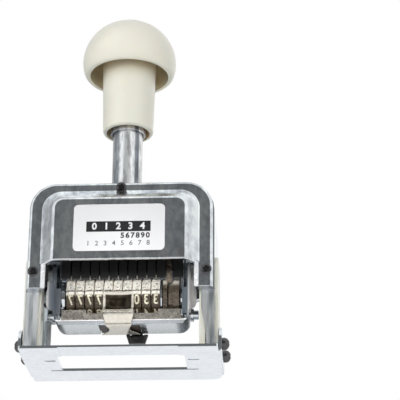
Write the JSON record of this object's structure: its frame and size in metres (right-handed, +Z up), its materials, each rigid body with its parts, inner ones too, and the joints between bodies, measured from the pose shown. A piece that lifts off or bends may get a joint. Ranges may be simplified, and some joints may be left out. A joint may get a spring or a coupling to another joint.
{
  "type": "hand numbering machine",
  "caption": "Hand numbering stamp: bent metal frame with pressed covers, sprung plunger with a mushroom handle, row of digit wheels and an ink pad that swings aside.",
  "frame": {"origin": "middle of the base plate's underside, where the machine stands on the paper", "axes": "+Z up along the plunger, +X to the right as the label is seen, the label faces -Y"},
  "size_m": [0.0916, 0.06, 0.1641],
  "materials": {
    "chrome": "bright plated sheet steel",
    "dark_chrome": "plated steel, in shadow",
    "nickel": "warm nickel plate with soft brushing",
    "spring_steel": "drawn spring steel",
    "black_steel": "blackened steel",
    "ivory_plastic": "moulded ivory plastic, satin gloss",
    "black_plastic": "black moulded plastic",
    "inked_felt": "dense felt soaked with black ink",
    "label_white": "white plastic label with plain bars"
  },
  "bodies": {
    "frame": {"base_plate": "chrome", "outer_frame": "chrome", "front_cover": "chrome", "back_cover": "chrome", "label_plate": "label_white", "front_screw_top": "black_steel", "front_screw_left": "black_steel", "front_screw_right": "black_steel", "back_screw_top": "black_steel", "back_screw_left": "black_steel", "back_screw_right": "black_steel", "base_screw_left_1": "black_steel", "base_screw_left_2": "black_steel", "base_screw_right_1": "black_steel", "base_screw_right_2": "black_steel", "guide_strip_left": "ivory_plastic", "guide_strip_right": "ivory_plastic", "side_guard_left": "ivory_plastic", "side_guard_right": "ivory_plastic", "shaft_bush": "nickel", "spring_bar": "dark_chrome", "return_spring": "spring_steel"},
    "plunger": {"handle_grip": "ivory_plastic", "plunger_shaft": "chrome", "shaft_ferrule": "chrome", "crosshead": "dark_chrome", "side_plate_left": "chrome", "side_plate_right": "chrome", "pivot_stud_left": "chrome", "pivot_stud_right": "chrome", "wheel_axle": "spring_steel", "detent_comb": "black_steel", "comb_bar": "dark_chrome", "detent_pawls": "nickel", "spacer_disc": "chrome", "repeat_lever_pin": "spring_steel"},
    "wheel_01": {"number_wheel_01": "nickel"},
    "wheel_02": {"number_wheel_02": "nickel"},
    "wheel_03": {"number_wheel_03": "nickel"},
    "wheel_04": {"number_wheel_04": "nickel"},
    "wheel_05": {"number_wheel_05": "nickel"},
    "wheel_06": {"number_wheel_06": "nickel"},
    "wheel_07": {"number_wheel_07": "nickel"},
    "wheel_08": {"number_wheel_08": "nickel"},
    "wheel_09": {"number_wheel_09": "nickel"},
    "wheel_10": {"number_wheel_10": "nickel"},
    "dial": {"repeat_dial": "nickel"},
    "cam": {"repeat_cam": "nickel"},
    "lever": {"repeat_lever": "dark_chrome"},
    "yoke": {"drive_yoke": "chrome"},
    "pawls": {"drive_pawls": "nickel"},
    "pad": {"pad_frame": "dark_chrome", "guide_pin_left": "chrome", "guide_pin_right": "chrome", "pad_tray": "nickel", "ink_pad": "inked_felt", "pad_catch": "black_plastic"},
    "clip": {"pad_clip": "nickel"}
  },
  "joints": [
    {"name": "plunger_stroke", "type": "slide", "parent": "frame", "child": "plunger", "axis": [0, 0, -1], "range_m": [0, 0.0177], "stiffness_N_per_m": 1200, "springref_m": -0.007, "deforming": ["return_spring"]},
    {"name": "wheel_01_turn", "type": "hinge", "parent": "plunger", "child": "wheel_01", "pos_m": [-0.0218, -0.004, 0.0277], "axis": [1, 0, 0], "continuous": true},
    {"name": "wheel_02_turn", "type": "hinge", "parent": "plunger", "child": "wheel_02", "pos_m": [-0.01775, -0.004, 0.0277], "axis": [1, 0, 0], "continuous": true},
    {"name": "wheel_03_turn", "type": "hinge", "parent": "plunger", "child": "wheel_03", "pos_m": [-0.0137, -0.004, 0.0277], "axis": [1, 0, 0], "continuous": true},
    {"name": "wheel_04_turn", "type": "hinge", "parent": "plunger", "child": "wheel_04", "pos_m": [-0.00965, -0.004, 0.0277], "axis": [1, 0, 0], "continuous": true},
    {"name": "wheel_05_turn", "type": "hinge", "parent": "plunger", "child": "wheel_05", "pos_m": [-0.0056, -0.004, 0.0277], "axis": [1, 0, 0], "continuous": true},
    {"name": "wheel_06_turn", "type": "hinge", "parent": "plunger", "child": "wheel_06", "pos_m": [-0.00155, -0.004, 0.0277], "axis": [1, 0, 0], "continuous": true},
    {"name": "wheel_07_turn", "type": "hinge", "parent": "plunger", "child": "wheel_07", "pos_m": [0.0025, -0.004, 0.0277], "axis": [1, 0, 0], "continuous": true},
    {"name": "wheel_08_turn", "type": "hinge", "parent": "plunger", "child": "wheel_08", "pos_m": [0.00655, -0.004, 0.0277], "axis": [1, 0, 0], "continuous": true},
    {"name": "wheel_09_turn", "type": "hinge", "parent": "plunger", "child": "wheel_09", "pos_m": [0.0106, -0.004, 0.0277], "axis": [1, 0, 0], "continuous": true},
    {"name": "wheel_10_turn", "type": "hinge", "parent": "plunger", "child": "wheel_10", "pos_m": [0.01465, -0.004, 0.0277], "axis": [1, 0, 0], "continuous": true},
    {"name": "dial_turn", "type": "hinge", "parent": "plunger", "child": "dial", "pos_m": [0.0185, -0.004, 0.0277], "axis": [1, 0, 0], "continuous": true},
    {"name": "cam_turn", "type": "hinge", "parent": "plunger", "child": "cam", "pos_m": [0.022, -0.004, 0.0277], "axis": [1, 0, 0], "continuous": true},
    {"name": "lever_swing", "type": "hinge", "parent": "plunger", "child": "lever", "pos_m": [0.0203, -0.0106, 0.0504], "axis": [-1, 0, 0], "range_deg": [0, 12]},
    {"name": "yoke_swing", "type": "hinge", "parent": "plunger", "child": "yoke", "pos_m": [0, -0.004, 0.0277], "axis": [1, 0, 0], "range_deg": [0, 40]},
    {"name": "pawl_lift", "type": "hinge", "parent": "yoke", "child": "pawls", "pos_m": [0, 0.00765, 0.02346], "axis": [-1, 0, 0], "range_deg": [0, 8], "stiffness_Nm_per_rad": 0.02, "springref_deg": -8.59},
    {"name": "pad_swing", "type": "hinge", "parent": "plunger", "child": "pad", "pos_m": [0, -0.004, 0.039], "axis": [-1, 0, 0], "range_deg": [0, 66]},
    {"name": "clip_release", "type": "hinge", "parent": "pad", "child": "clip", "pos_m": [-0.0009, -0.0016, 0.0129], "axis": [1, 0, 0], "range_deg": [0, 8], "stiffness_Nm_per_rad": 0.1, "springref_deg": -5.73}
  ],
  "couplings": [
    {"joint": "yoke_swing", "follows": "plunger_stroke", "rad_per_m": 39.4},
    {"joint": "pad_swing", "follows": "plunger_stroke", "rad_per_m": 65}
  ]
}
